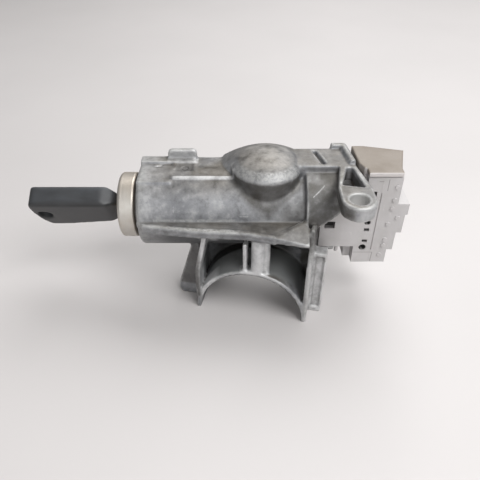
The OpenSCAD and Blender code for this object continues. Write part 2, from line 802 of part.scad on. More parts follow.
module switch_cover() {
  bump_r = 1.1;
  bump_rise = 0.6;
  bumps = [[6.9, 19.3], [6.8, 12.4], [6.6, 7.6], [10, 2.4], [6.1, -1.3], [6.2, -10.5], [6, -14.1],
    [5.1, -20.1]];
  groove = 0.5;
  color([0.76, 0.75, 0.75]) difference() {
    union() {
      xz_prism(-switch_front, switch_back) cover_outline();
      for (b = bumps)
        translate([seam_x + b.x, -switch_front, lock_height + b.y]) rotate([90, 0, 0])
          cylinder(h = bump_rise, r = bump_r);
    }
    x_cyl(seam_x - cut, seam_x + 3, cavity_r);
    shroud_room();
    box([seam_x - cut, -switch_front - cut, lock_height - 17],
      [seam_x + groove, -switch_front + groove, lock_height + 16]);
  }
}

module connector_shroud() {
  lip = 0.6;
  inner = shroud_wall;
  color([0.68, 0.64, 0.58]) difference() {
    union() {
      translate([0, 0, socket_z0]) linear_extrude(shroud_h) shroud_outline();
      box([shroud_x + 3.7, -switch_front - lip, front_top + gap],
        [shroud_x1, shroud_front + cut, shroud_top]);
    }
    box([shroud_x + inner, shroud_back - shroud_mouth, socket_z0 + inner],
      [shroud_x1 - inner, shroud_back + cut, shroud_top - inner]);
    at_terminals() box([-0.85, shroud_front - cut, -0.45], [0.85, shroud_back - shroud_mouth + cut, 0.45]);
  }
}

// Outline of the connector from above: it flares to the slanted back and clears the eye's arm at the left
module shroud_outline() {
  polygon([[shroud_x, shroud_back], [shroud_x + shroud_square, shroud_back],
    [shroud_x1 + shroud_flare, shroud_back - shroud_slant], [shroud_x1, shroud_front],
    [shroud_x + 2.7, shroud_front], [shroud_x + 0.7, deck_near]]);
}

// Places one child at each connector terminal
module at_terminals() {
  pitch = (shroud_len - 2 * shroud_wall - 4) / (terminal_count - 1);
  for (i = [0:terminal_count - 1])
    translate([shroud_x + shroud_wall + 2 + i * pitch, 0, socket_z0 + shroud_h / 2]) children();
}

module terminals() {
  socket_part = 8;
  color("goldenrod") at_terminals() box([-0.8, shroud_front, -0.4], [0.8, shroud_back - socket_part, 0.4]);
}

module switch_rotor() {
  bore = square_w / 2 + run_fit;
  rotor_x1 = rotor_x + rotor_len;
  color([0.15, 0.15, 0.16]) on_key() difference() {
    union() {
      key_cyl(rotor_x, rotor_x1, rotor_r);
      key_cyl(rotor_x - 1, rotor_x + 1, journal_r + 1.5);
    }
    box([rotor_x - 2, -bore, -bore], [rotor_x1 - 2 + run_fit, bore, bore]);
    key_cyl(rotor_x - 2, rotor_x - 1 + run_fit, journal_r + run_fit);
    at_bridge_springs() cylinder(h = spring_depth + cut, r = 1.5);
  }
}

// Places children at the two spring pockets in the rotor's end, facing the switch's cover
module at_bridge_springs() {
  for (s = [-1, 1])
    translate([rotor_x + rotor_len - spring_depth, 0, 6 * s]) rotate([0, 90, 0]) children();
}

module contact_bridge() {
  color("goldenrod") on_key() translate([bridge_x, 0, 0]) rotate([0, 90, 0]) difference() {
    intersection() {
      cylinder(h = bridge_t, r = rotor_r - 1);
      translate([-20, -3, -cut]) cube([40, 6, 3]);
    }
    translate([0, 0, -cut]) cylinder(h = 4, r = 1.6);
  }
}

module contact_springs() {
  height = spring_depth + bridge_x - (rotor_x + rotor_len) - 2 * run_fit;
  color("silver") on_key() at_bridge_springs() translate([0, 0, run_fit]) coil(1, 0.2, height, 4, 10, 5);
}

module fixed_contacts() {
  x0 = bridge_x + bridge_t + run_fit;
  color("goldenrod") difference() {
    intersection() {
      x_cyl(x0, seam_x + 3, rotor_r - 1);
      for (a = [0, 120, 240]) translate([0, 0, lock_height]) rotate([a, 0, 0]) box([0, -2, 3], [90, 2, 20]);
    }
    x_cyl(0, 90, 4);
  }
}

module detent_plunger() {
  color("silver") translate([plunger_x, 0, plunger_top - plunger_len])
    cylinder(h = plunger_len, r = plunger_r);
}

module detent_spring() {
  height = plunger_top - plunger_len - spring_seat_z - 2 * run_fit;
  color("dimgray") translate([plunger_x, 0, spring_seat_z + run_fit]) coil(1.2, 0.25, height, 4, 10, 5);
}

module return_spring() {
  x0 = wall_x + wall_t + run_fit;
  color("dimgray") translate([x0, 0, lock_height]) rotate([0, 90, 0])
    coil(8, 0.6, rotor_x - x0 - run_fit, 2.5, 20, 6);
}

module switch_screws() {
  seat = switch_back + 3;
  cross = [4, 0.8, 1];
  color("silver") for (z = screw_zs) translate([screw_x, seat, z]) rotate([90, 0, 0]) {
    cylinder(h = screw_len, r = screw_r);
    translate([0, 0, -screw_head_t]) difference() {
      cylinder(h = screw_head_t, r = screw_head_r);
      for (a = [0, 90]) rotate([0, 0, a])
        translate([-cross.x / 2, -cross.y / 2, -cut]) cube(cross + [0, 0, cut]);
    }
  }
}

housing();
bezel_ring();
cylinder_sleeve();
sleeve_pin();
lock_plug();
key_blade();
key_bow();
upper_wafers();
lower_wafers();
upper_wafer_springs();
lower_wafer_springs();
cam_shaft();
shaft_circlip();
lock_bolt();
bolt_spring();
switch_body();
switch_cover();
connector_shroud();
switch_rotor();
contact_bridge();
contact_springs();
fixed_contacts();
terminals();
detent_plunger();
detent_spring();
return_spring();
switch_screws();
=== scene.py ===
import json
import math

import bpy
import numpy as np
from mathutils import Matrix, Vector


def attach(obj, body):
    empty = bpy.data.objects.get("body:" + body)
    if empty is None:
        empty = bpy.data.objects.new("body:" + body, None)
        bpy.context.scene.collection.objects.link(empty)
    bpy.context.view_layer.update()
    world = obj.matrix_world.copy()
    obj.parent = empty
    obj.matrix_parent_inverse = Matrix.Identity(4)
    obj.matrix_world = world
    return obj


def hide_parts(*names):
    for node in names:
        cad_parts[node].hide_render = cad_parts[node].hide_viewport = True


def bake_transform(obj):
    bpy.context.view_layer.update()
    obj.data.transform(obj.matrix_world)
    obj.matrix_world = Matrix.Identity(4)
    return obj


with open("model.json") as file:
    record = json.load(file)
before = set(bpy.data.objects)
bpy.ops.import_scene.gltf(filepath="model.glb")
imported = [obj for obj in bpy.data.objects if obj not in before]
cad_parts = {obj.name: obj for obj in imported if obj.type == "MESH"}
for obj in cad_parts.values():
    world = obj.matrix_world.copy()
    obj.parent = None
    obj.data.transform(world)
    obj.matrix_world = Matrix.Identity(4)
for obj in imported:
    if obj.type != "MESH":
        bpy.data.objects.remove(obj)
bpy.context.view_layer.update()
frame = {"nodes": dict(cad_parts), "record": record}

MM = 0.001

# The photograph's camera: where it stands, how far it looks down and how wide it sees
CAMERA_AT = (-11.5 * MM, -208.1 * MM, 187.8 * MM)
CAMERA_DOWN = math.radians(38)
CAMERA_NEAR = 0.01
IMAGE_PX = 480
FOCAL_PX = 500
SENSOR_MM = 36.0

# Skins: voxel and rounding passes of each remeshed piece, and the most triangles of the casting
CAST_VOXEL = 0.55 * MM
CAST_PASSES = 5
CAST_TRIANGLES = 190000
DOME_PASSES = 40
BOW_VOXEL = 0.45 * MM
BOW_PASSES = 40
CONNECTOR_VOXEL = 0.4 * MM
CONNECTOR_PASSES = 12
SMOOTH_PULL = 0.5

# The middles of the casting's dome and eye, in millimetres
DOME_AT = (1.0, -1.0)
EYE_AT = (38.5, -33.4)

# The dome's front edge, which is rounded further than the others, in millimetres
DOME_EDGE_R = 15
DOME_EDGE_WIDE = 4
DOME_EDGE_Z = 69
DOME_EDGE_TALL = 6
DOME_FRONT_Y = -5
DOME_FRONT_FADE = 3

# How many rounds of neighbours a point is compared with to find edges and corners
CURVATURE_REACH = 3

# The broken edges of the switch's shells
SHELL_EDGE = 0.35 * MM
SHELL_STEPS = 2
SAME_POINT = 0.002 * MM
FLAT_ANGLE = math.radians(1)
SHARP_ANGLE = math.radians(40)

# The core holes in the switch's front as left, bottom, width and height, in millimetres
CORE_HOLES = [(29, 44, 5, 4), (49, 62, 2.2, 2.8), (48.2, 42.2, 2.6, 1.8),
              (48.2, 35.4, 2.6, 1.8), (47.9, 45.9, 3, 3), (47.2, 30.6, 3.6, 3.6)]

# Thin bright lines in the casting's front, the second a painted highlight dash on the barrel and
# the others scratches: two points in x and z and a width, in millimetres
SCRATCHES_AND_GLINT = [((22.0, 63.0), (27.1, 66.5), 0.3), ((-11.5, 53.5), (-7.8, 53.5), 0.35),
             ((-42.3, 57.9), (-42.4, 55.4), 0.2)]

# Moulded seams in the switch's front, given as the scratches are
SEAMS = [((55.7, 65.4), (55.7, 71.2), 0.25), ((51.4, 70.2), (53.2, 70.2), 0.25),
         ((54.1, 23.6), (54.3, 29.2), 0.25), ((44.0, 29.3), (54.3, 29.3), 0.2)]

# The share of a thin line's width that is solid, and how far back such lines reach
LINE_CORE = 0.4
LINES_BACK_Y = -8

# A side of a box that is left open
OPEN = (None, None)

# The sockets of a Mix node that blends colours
MIX_SHARE = 0
MIX_A = 6
MIX_B = 7
MIX_RESULT = 2

# How a scuff lightens the plastic around it, and how far a surface's roughness varies
SCUFF_GAIN = 1.6
SCUFF_LIFT = 0.02
METAL_VARIES = 0.12
PLASTIC_VARIES = 0.1

# Tones of the casting
CAST_DARK = (0.19, 0.195, 0.207)
CAST_LIGHT = (0.315, 0.32, 0.331)
BRIGHT_PATCH = (0.48, 0.48, 0.485)
DARK_PATCH = (0.09, 0.09, 0.095)
WARM_TOP_DARK = (0.078, 0.069, 0.056)
WARM_TOP_LIGHT = (0.16, 0.146, 0.127)
DOME_CAP = (0.34, 0.325, 0.305)
UNDERSIDE_SHADE = (0.10, 0.10, 0.102)
SHADE_AND_DIRT = (0.075, 0.07, 0.062)
SPINE_PAD = (0.105, 0.10, 0.095)
SADDLE_TOP_LIGHT = (0.27, 0.28, 0.28)
SADDLE_SHADE = (0.022, 0.02, 0.018)
LEFT_EAR_SHADE = (0.075, 0.068, 0.06)
LIT_AND_CLEAN = (0.62, 0.62, 0.625)
CORNER_SHADE_AND_GRIME = (0.05, 0.045, 0.04)
EYE_BORE_LIGHT = (0.52, 0.52, 0.51)
WORN_EDGE = (0.60, 0.60, 0.59)
ROUGH_BAND_AND_HIGHLIGHT = (0.42, 0.42, 0.41)
SCRATCH_AND_GLINT_TONE = (0.60, 0.60, 0.60)

# Tones of the ring, the switch, the connector, the key and the floor
RING_CLEAN = (0.61, 0.587, 0.55)
RING_STAIN = (0.52, 0.478, 0.42)
RING_SIDE_SHADE = (0.16, 0.13, 0.105)
RING_TOP_REFLECTION = (0.50, 0.43, 0.36)
SEAM = (0.16, 0.15, 0.145)
CORE_HOLE_SHADE = (0.025, 0.024, 0.023)
CONNECTOR_LIP = (0.56, 0.53, 0.52)
KEY_SHEEN = (0.052, 0.056, 0.062)
FLOOR_LIGHT = (0.56, 0.538, 0.534)
FLOOR_SHADE = (0.535, 0.514, 0.51)

# The studio: the floor, the surroundings as heights and tones, and the lights as name, place,
# target, side and watts
FLOOR_HALF = 1.5
WORLD_STRENGTH = 0.36
WORLD_TONES = [(0.35, (0.30, 0.31, 0.33)), (0.9, (1.0, 0.99, 0.97))]
LIGHTS = [("window", (0.35, -0.36, 0.72), (0, 0, 0.03), 0.5, 6.1),
          ("overhead", (0.25, 0.6, 0.85), (0.05, 0.25, 0), 0.8, 8.8),
          ("front", (-0.15, -0.75, 0.30), (0, 0, 0.04), 0.6, 1.3)]

BODIES = frame["record"]["behaviour"]["bodies"]
BODY_OF = {node: body for body, nodes in BODIES.items() for node in nodes}


def new_object(name, data):
    """A new object in the scene that holds a mesh, a light or a camera."""
    obj = bpy.data.objects.new(name, data)
    bpy.context.scene.collection.objects.link(obj)
    return obj


def applied(obj):
    """Bakes the object's modifiers into its mesh."""
    graph = bpy.context.evaluated_depsgraph_get()
    mesh = bpy.data.meshes.new_from_object(obj.evaluated_get(graph))
    obj.modifiers.clear()
    obj.data = mesh


def points_of(mesh):
    """The mesh's points, one in each row."""
    points = np.empty(len(mesh.vertices) * 3)
    mesh.vertices.foreach_get("co", points)
    return points.reshape(-1, 3)


def smoothing(obj, passes):
    """Adds a modifier that rounds the object's edges."""
    smooth = obj.modifiers.new("smooth", "SMOOTH")
    smooth.factor = SMOOTH_PULL
    smooth.iterations = passes
    return smooth


def skin(node, name, voxel, passes, most=None):
    """A copy of a CAD node with rounded edges, which stands for the node."""
    obj = new_object(name, frame["nodes"][node].data.copy())
    obj.data.materials.clear()
    remesh = obj.modifiers.new("remesh", "REMESH")
    remesh.mode = "VOXEL"
    remesh.voxel_size = voxel
    smoothing(obj, passes)
    applied(obj)
    triangles = 2 * len(obj.data.polygons)
    if most and triangles > most:
        thin = obj.modifiers.new("thin", "DECIMATE")
        thin.ratio = most / triangles
        applied(obj)
    obj.data.shade_smooth()
    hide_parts(node)
    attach(obj, BODY_OF[node])
    return obj


def round_dome(obj):
    """Rounds the dome's front edge further than the other edges."""
    x, y, z = points_of(obj.data).T / MM
    out = np.hypot(x - DOME_AT[0], y - DOME_AT[1])
    on_edge = np.clip(DOME_EDGE_WIDE - np.abs(out - DOME_EDGE_R), 0, 1)
    on_top = np.clip(DOME_EDGE_TALL - np.abs(z - DOME_EDGE_Z), 0, 1)
    in_front = np.clip((DOME_FRONT_Y - y) / DOME_FRONT_FADE, 0, 1)
    share = on_edge * on_top * in_front
    group = obj.vertex_groups.new(name="dome")
    for index in np.nonzero(share)[0]:
        group.add([int(index)], float(share[index]), "REPLACE")
    smoothing(obj, DOME_PASSES).vertex_group = group.name
    applied(obj)
    obj.vertex_groups.clear()


def store_curvature(obj):
    """Keeps how far each point bulges as a point attribute: above 0 on edges, below in corners."""
    mesh = obj.data
    count = len(mesh.vertices)
    points = points_of(mesh)
    normals = np.empty(count * 3)
    mesh.vertex_normals.foreach_get("vector", normals)
    normals = normals.reshape(-1, 3)
    edges = np.empty(len(mesh.edges) * 2, dtype=int)
    mesh.edges.foreach_get("vertices", edges)
    a, b = edges.reshape(-1, 2).T
    degree = np.maximum(np.bincount(a, minlength=count) + np.bincount(b, minlength=count), 1)

    def around(values):
        """The mean of each point's neighbours."""
        total = np.bincount(a, values[b], count) + np.bincount(b, values[a], count)
        return total / degree

    wide = points.copy()
    for _ in range(CURVATURE_REACH):
        wide = np.stack([around(wide[:, k]) for k in range(3)], axis=1)
    bulge = np.einsum("ij,ij->i", points - wide, normals) / MM
    bulge = 0.5 * bulge + 0.5 * around(bulge)
    layer = mesh.attributes.new("curvature", "FLOAT", "POINT")
    layer.data.foreach_set("value", bulge)


class Graph:
    """A material whose nodes are added and linked in a few words."""

    def __init__(self, name):
        self.material = bpy.data.materials.new(name)
        self.material.use_nodes = True
        self.tree = self.material.node_tree
        self.shader = self.tree.nodes["Principled BSDF"]
        coordinates = self.node("TexCoord").outputs
        self.place = coordinates["Object"]
        self.facing = coordinates["Normal"]

    def node(self, kind, inputs=None, **settings):
        """A new node with its settings and inputs."""
        made = self.tree.nodes.new("ShaderNode" + kind)
        for key, value in settings.items():
            setattr(made, key, value)
        for key, value in (inputs or {}).items():
            self.feed(made.inputs[key], value)
        return made

    def feed(self, socket, value):
        """Links another socket to this one, or sets it to a number, vector or opaque colour."""
        if isinstance(value, bpy.types.NodeSocket):
            self.tree.links.new(value, socket)
        elif socket.type == "RGBA":
            socket.default_value = (*value, 1.0)
        else:
            socket.default_value = value

    def noise(self, size_mm, detail=3.0, rough=0.5, stretch=None):
        """Noise whose blotches are about size_mm across; stretch squeezes it along the axes."""
        place = self.place
        if stretch:
            place = self.node("Mapping", {"Vector": place, "Scale": stretch}).outputs["Vector"]
        made = self.node("TexNoise", {"Vector": place, "Scale": 1 / (size_mm * MM),
                                      "Detail": detail, "Roughness": rough})
        return made.outputs["Fac"]

    def span(self, value, low, high, to_low=0.0, to_high=1.0):
        """Maps low..high of a value to to_low..to_high, and holds it there."""
        made = self.node("MapRange", {"Value": value, "From Min": low, "From Max": high,
                                      "To Min": to_low, "To Max": to_high})
        return made.outputs["Result"]

    def math(self, operation, a, b):
        """One operation on two values."""
        made = self.node("Math", operation=operation)
        self.feed(made.inputs[0], a)
        self.feed(made.inputs[1], b)
        return made.outputs["Value"]

    def mix(self, share, a, b):
        """Blends colour a towards colour b."""
        made = self.node("Mix", data_type="RGBA")
        self.feed(made.inputs[MIX_SHARE], share)
        self.feed(made.inputs[MIX_A], a)
        self.feed(made.inputs[MIX_B], b)
        return made.outputs[MIX_RESULT]

    def axes(self, vector):
        """The X, Y and Z of a vector."""
        split = self.node("SeparateXYZ", {0: vector})
        return split.outputs["X"], split.outputs["Y"], split.outputs["Z"]

    def length(self, a, b):
        """The length of a flat vector with the sides a and b."""
        squares = [self.math("MULTIPLY", side, side) for side in (a, b)]
        return self.math("POWER", self.math("ADD", *squares), 0.5)

    def within(self, value, low, high, soft):
        """1 where a value lies between low and high, fading out over soft."""
        rise = self.span(value, low - soft, low + soft)
        return self.all_of(rise, self.span(value, high - soft, high + soft, 1.0, 0.0))

    def all_of(self, *shares):
        """The product of several shares."""
        total = shares[0]
        for share in shares[1:]:
            total = self.math("MULTIPLY", total, share)
        return total

    def any_of(self, *shares):
        """The largest of several shares."""
        most = shares[0]
        for share in shares[1:]:
            most = self.math("MAXIMUM", most, share)
        return most

    def box(self, x=OPEN, y=OPEN, z=OPEN, soft=0.5):
        """1 inside a box whose sides are given in millimetres, fading out over soft."""
        shares = []
        for axis, (low, high) in zip(self.axes(self.place), (x, y, z)):
            if low is not None:
                shares.append(self.span(axis, (low - soft) * MM, (low + soft) * MM))
            if high is not None:
                shares.append(self.span(axis, (high - soft) * MM, (high + soft) * MM, 1.0, 0.0))
        return self.all_of(*shares)

    def bump(self, heights):
        """Bumps from pairs of a height and its depth in millimetres."""
        normal = None
        for height, depth in heights:
            inputs = {"Height": height, "Strength": 1.0, "Distance": depth * MM}
            if normal:
                inputs["Normal"] = normal
            normal = self.node("Bump", inputs).outputs["Normal"]
        self.feed(self.shader.inputs["Normal"], normal)

    def finish(self, color, roughness, metallic=0.0, **more):
        """Feeds the shader and gives the material."""
        self.feed(self.shader.inputs["Base Color"], color)
        self.feed(self.shader.inputs["Roughness"], roughness)
        self.feed(self.shader.inputs["Metallic"], metallic)
        for key, value in more.items():
            self.feed(self.shader.inputs[key.replace("_", " ")], value)
        return self.material


def upright_radius(g, middle):
    """How far a point lies from an upright axis through the middle."""
    x, y, _ = g.axes(g.place)
    off = [g.math("SUBTRACT", axis, centre * MM) for axis, centre in zip((x, y), middle)]
    return g.length(*off)


def rough_and_lit_bands(g, speck):
    """Where the casting is rough and bright: the dome's bevel, partly a painted highlight, the
    mouth and the flange's root.
    """
    rim = g.within(upright_radius(g, DOME_AT), 12.8 * MM, 18.0 * MM, 0.5 * MM)
    bevel = g.all_of(rim, g.box(z=(70.0, 74.3), soft=0.8), g.box(y=(None, -6.5), soft=2.5))
    mouth = g.box(x=(None, -57.0), soft=2.0)
    root = g.box(x=(-52, -14), y=(None, -17.5), z=(51.2, 52.2), soft=0.3)
    return g.all_of(g.any_of(bevel, mouth, root), g.span(speck, 0.40, 0.60, 0.1, 0.7))


def shade_and_dirt_places(g):
    """Where painted shade and some brown dirt darken the casting: hood, walls under the dome,
    flange and arm's window.
    """
    hood = g.box(x=(19.5, 36), y=(None, -6), z=(None, 72.5), soft=0.7)
    rim = g.within(upright_radius(g, DOME_AT), 11.0 * MM, 17.6 * MM, 1.0 * MM)
    wall = g.all_of(rim, g.box(y=(None, -7.5), z=(50, 69.8), soft=0.7))
    window = g.box(x=(36, 45), y=(-22, -7), z=(None, 70.5), soft=0.5)
    flange = g.all_of(g.box(y=(None, -20), z=(49, 51.6), soft=0.4), 0.4)
    side = g.all_of(g.box(x=(7, 20), y=(None, -11), z=(49, 61), soft=3.0), 0.75)
    most = g.any_of(hood, wall, window, flange, side)
    return g.all_of(most, g.span(g.noise(9, 4, 0.6), 0.35, 0.62, 0.95, 0.55))


def lit_and_clean_places(g, patch):
    """Where the casting is painted pale, as painted light and partly clean metal: boss, legs, eye,
    spine's edge, lug, mouth and hood.
    """
    boss = g.box(x=(-11.5, 1.8), y=(None, -23.2), z=(27, 47), soft=0.6)
    right_leg = g.box(x=(20, None), y=(None, -17), z=(None, 41), soft=2.0)
    left_leg = g.box(x=(-31, -22.5), y=(None, -17), z=(8, 47), soft=1.0)
    skirt = g.within(upright_radius(g, EYE_AT), 6.9 * MM, 8.0 * MM, 0.2 * MM)
    eye = g.all_of(skirt, g.box(x=(37, None), y=(None, -35), soft=2.5), 0.5)
    edge = g.all_of(g.box(x=(-43, -14), y=(-6.9, -5.1), z=(64.5, None), soft=0.4), 0.85)
    lug = g.all_of(g.box(x=(-47, -32), y=(7, None), z=(67, None)), 0.6)
    mouth = g.all_of(g.box(x=(None, -50), soft=5.0), 0.35)
    hood = g.all_of(g.box(x=(19.5, 25), y=(-12, -6), z=(67, 71), soft=1.0), 0.25)
    most = g.any_of(boss, right_leg, left_leg, eye, edge, lug, mouth, hood)
    return g.all_of(most, g.span(patch, 0.35, 0.6, 0.45, 0.95))


def saddle_tones(g, tone, up):
    """Paints the saddle: painted light on its grey-green top, painted shade nearly black behind and
    inside, and painted shade on its left ear.
    """
    top = g.box(x=(-26, 21), y=(-29, -9), z=(8, 29.5), soft=1.0)
    above = g.all_of(top, g.span(up, 0.1, 0.3))
    tone = g.mix(g.all_of(above, 0.85), tone, SADDLE_TOP_LIGHT)
    recess = g.box(x=(-26, 21), y=(-9.5, -1), z=(None, 45.5), soft=0.8)
    hollow = g.box(x=(-26, 21), z=(None, 27.2), soft=0.8)
    inside = g.all_of(hollow, g.span(up, -0.1, -0.3))
    tone = g.mix(g.all_of(g.any_of(recess, inside), 0.85), tone, SADDLE_SHADE)
    ear = g.box(x=(None, -31), z=(7, 34.5), soft=0.8)
    return g.mix(g.all_of(ear, 0.65), tone, LEFT_EAR_SHADE)


def thin_lines(g, lines):
    """Where thin lines run in the front, each given by two points in x and z and its width."""
    x, _, z = g.axes(g.place)
    shares = []
    for (x0, z0), (x1, z1), width in lines:
        run, rise = (x1 - x0) * MM, (z1 - z0) * MM
        off = [g.math("SUBTRACT", x, x0 * MM), g.math("SUBTRACT", z, z0 * MM)]
        along = g.math("ADD", g.math("MULTIPLY", off[0], run), g.math("MULTIPLY", off[1], rise))
        share = g.span(along, 0.0, run * run + rise * rise)
        away = [g.math("SUBTRACT", side, g.math("MULTIPLY", share, step))
                for side, step in zip(off, (run, rise))]
        shares.append(g.span(g.length(*away), width * MM, LINE_CORE * width * MM))
    return g.all_of(g.any_of(*shares), g.box(y=(None, LINES_BACK_Y)))


def cast_metal():
    """Die-cast skin: cloudy grey, painted warm light on top, painted shade below, bright worn
    edges, painted shade and grime in corners.
    """
    g = Graph("cast_metal")
    cloud = g.noise(16, 4, 0.6)
    patch = g.noise(4.5, 6, 0.65)
    speck = g.noise(1.3, 5, 0.7)
    grain = g.noise(0.5, 3, 0.6)
    curvature = g.node("Attribute", attribute_name="curvature").outputs["Fac"]
    up = g.axes(g.facing)[2]

    # The metal itself, with its light and dark clouds, and a patchy brown tint on what faces up
    # that is painted warm light from above
    tone = g.mix(g.span(cloud, 0.36, 0.64), CAST_DARK, CAST_LIGHT)
    tone = g.mix(g.span(patch, 0.50, 0.72, 0.0, 0.7), tone, BRIGHT_PATCH)
    tone = g.mix(g.span(patch, 0.46, 0.30, 0.0, 0.6), tone, DARK_PATCH)
    warm_top = g.all_of(g.span(up, 0.6, 0.98), g.span(cloud, 0.3, 0.6, 0.4, 0.95))
    tone = g.mix(warm_top, tone, g.mix(g.span(patch, 0.35, 0.62), WARM_TOP_DARK, WARM_TOP_LIGHT))

    # Places with a tone of their own, and places of painted shade and light
    cap = g.all_of(g.span(upright_radius(g, DOME_AT), 14 * MM, 12 * MM), g.box(z=(73, None)))
    tone = g.mix(g.all_of(cap, g.span(patch, 0.35, 0.6, 0.1, 0.55)), tone, DOME_CAP)
    # Painted shade on what faces down, darker the further it faces down
    tone = g.mix(g.span(up, 0.05, -0.35, 0.0, 0.8), tone, UNDERSIDE_SHADE)
    # Painted shade under the dome, in the hood and the arm's window, with some dirt on the flange
    tone = g.mix(shade_and_dirt_places(g), tone, SHADE_AND_DIRT)
    pad = g.box(x=(-42.2, -33.9), y=(-0.5, 6.7), z=(65.5, None), soft=0.3)
    tone = g.mix(g.all_of(pad, 0.7), tone, SPINE_PAD)
    # Painted light and shade on the saddle
    tone = saddle_tones(g, tone, up)
    # Painted light, partly clean metal, on the boss, legs, eye, spine's edge, lug, mouth and hood
    tone = g.mix(lit_and_clean_places(g, patch), tone, LIT_AND_CLEAN)

    # Painted shade with some grime in the corners, kept out of the eye's bore
    corner_shade_and_grime = g.all_of(g.span(curvature, -0.05, -0.22), g.span(patch, 0.3, 0.6, 0.4, 1.0))
    tone = g.mix(corner_shade_and_grime, tone, CORNER_SHADE_AND_GRIME)
    # Painted light on the wall of the eye's bore
    lit_bore = g.span(upright_radius(g, EYE_AT), 4.8 * MM, 4.4 * MM)
    tone = g.mix(g.all_of(lit_bore, 0.85), tone, EYE_BORE_LIGHT)

    # Worn edges, fainter at the pad, the hood's deck and the step by the mouth
    worn = g.math("ADD", curvature, g.span(speck, 0.3, 0.7, -0.03, 0.02))
    broken = g.span(g.noise(7, 4, 0.6), 0.36, 0.62, 0.10, 0.55)
    edge = g.all_of(g.span(worn, 0.03, 0.13), broken)
    deck = g.box(x=(17, 34), y=(-9, -3))
    step = g.box(x=(None, -43), y=(-14, -5), z=(58, 67))
    edge = g.all_of(edge, g.span(g.any_of(pad, deck, step), 0.0, 0.5, 1.0, 0.25))
    tone = g.mix(edge, tone, WORN_EDGE)

    # Rough bright bands, with a painted highlight on the dome's bevel
    tone = g.mix(rough_and_lit_bands(g, speck), tone, ROUGH_BAND_AND_HIGHLIGHT)
    # Scratches, and a painted highlight dash on the barrel
    scratch_and_glint = g.all_of(thin_lines(g, SCRATCHES_AND_GLINT), g.span(speck, 0.38, 0.58, 0.05, 0.45))
    tone = g.mix(scratch_and_glint, tone, SCRATCH_AND_GLINT_TONE)
    g.bump([(patch, 0.12), (speck, 0.06), (grain, 0.05)])
    return g.finish(tone, g.span(patch, 0.3, 0.7, 0.42, 0.6), 0.45)


def satin_metal():
    """Satin bezel metal with fine turning lines around the lock axis."""
    g = Graph("satin_metal")
    lines = g.noise(0.4, 2, 0.5, (1.0, 0.02, 0.02))
    stain = g.noise(9, 4)
    along, _, up = g.axes(g.facing)
    tone = g.mix(g.span(stain, 0.35, 0.7), RING_CLEAN, RING_STAIN)
    # Painted shade on what faces right, and a painted warm reflection on what faces up
    tone = g.mix(g.span(along, 0.2, 0.6, 0.0, 0.8), tone, RING_SIDE_SHADE)
    tone = g.mix(g.span(up, 0.5, 1.0, 0.0, 0.5), tone, RING_TOP_REFLECTION)
    g.bump([(lines, 0.02)])
    return g.finish(tone, g.span(lines, 0.3, 0.7, 0.40, 0.52), 0.9)


def plain_metal(name, color, shade, rough):
    """Machined or pressed metal with faint stains."""
    g = Graph(name)
    stain = g.noise(3, 4)
    lines = g.noise(0.5, 2)
    tone = g.mix(g.span(stain, 0.35, 0.7), color, shade)
    g.bump([(lines, 0.01)])
    return g.finish(tone, g.span(stain, 0.3, 0.7, rough, rough + METAL_VARIES), 0.95)


def switch_marks(g, tone):
    """Darkens the seams, and paints shade into the core holes in the front of the switch."""
    tone = g.mix(g.all_of(thin_lines(g, SEAMS), 0.7), tone, SEAM)
    # Painted shade deep in the core holes
    holes = [g.box(x=(left, left + wide), z=(low, low + high), soft=0.15)
             for left, low, wide, high in CORE_HOLES]
    hole_shade = g.all_of(g.any_of(*holes), g.box(y=(-14.6, -9), soft=0.3))
    return g.mix(hole_shade, tone, CORE_HOLE_SHADE)


def pale_front(g, tone):
    """Lightens what faces the front."""
    return g.mix(g.span(g.axes(g.facing)[1], -0.2, -0.7), tone, CONNECTOR_LIP)


def sky_sheen_top(g, tone):
    """Paints a bluish sheen, a painted reflection, on what looks up."""
    up = g.span(g.axes(g.facing)[2], 0.5, 0.95)
    uneven = g.span(g.noise(6, 4, 0.6, (0.5, 1.0, 1.0)), 0.35, 0.65, 0.3, 1.0)
    return g.mix(g.all_of(up, uneven), tone, KEY_SHEEN)


def moulded_plastic(name, color, shade, rough, speck=0.25, shine=0.5, extra=None):
    """Moulded plastic: a fine grain, cloudy dirt, small scuffs and what extra paints over them."""
    g = Graph(name)
    cloud = g.noise(10, 4, 0.55)
    scuff = g.noise(1.3, 6, 0.65, (1.0, 1.0, 0.35))
    grain = g.noise(0.35, 2)
    scuffed = [min(1.0, part * SCUFF_GAIN + SCUFF_LIFT) for part in color]
    tone = g.mix(g.span(cloud, 0.38, 0.68), color, shade)
    tone = g.mix(g.span(scuff, 0.62, 0.75, 0.0, speck), tone, scuffed)
    if extra:
        tone = extra(g, tone)
    g.bump([(grain, 0.02), (scuff, 0.015)])
    roughness = g.span(cloud, 0.3, 0.7, rough, rough + PLASTIC_VARIES)
    return g.finish(tone, roughness, Specular_IOR_Level=shine)


def floor_paint():
    """Pale table top with a faint cloudiness."""
    g = Graph("floor_paint")
    tone = g.mix(g.span(g.noise(160, 3), 0.3, 0.7), FLOOR_LIGHT, FLOOR_SHADE)
    return g.finish(tone, g.span(g.noise(2, 3), 0.3, 0.7, 0.5, 0.6))


def paint(nodes, material):
    """Gives CAD nodes the material in place of their plain one."""
    for name in nodes:
        mesh = frame["nodes"][name].data
        mesh.materials.clear()
        mesh.materials.append(material)


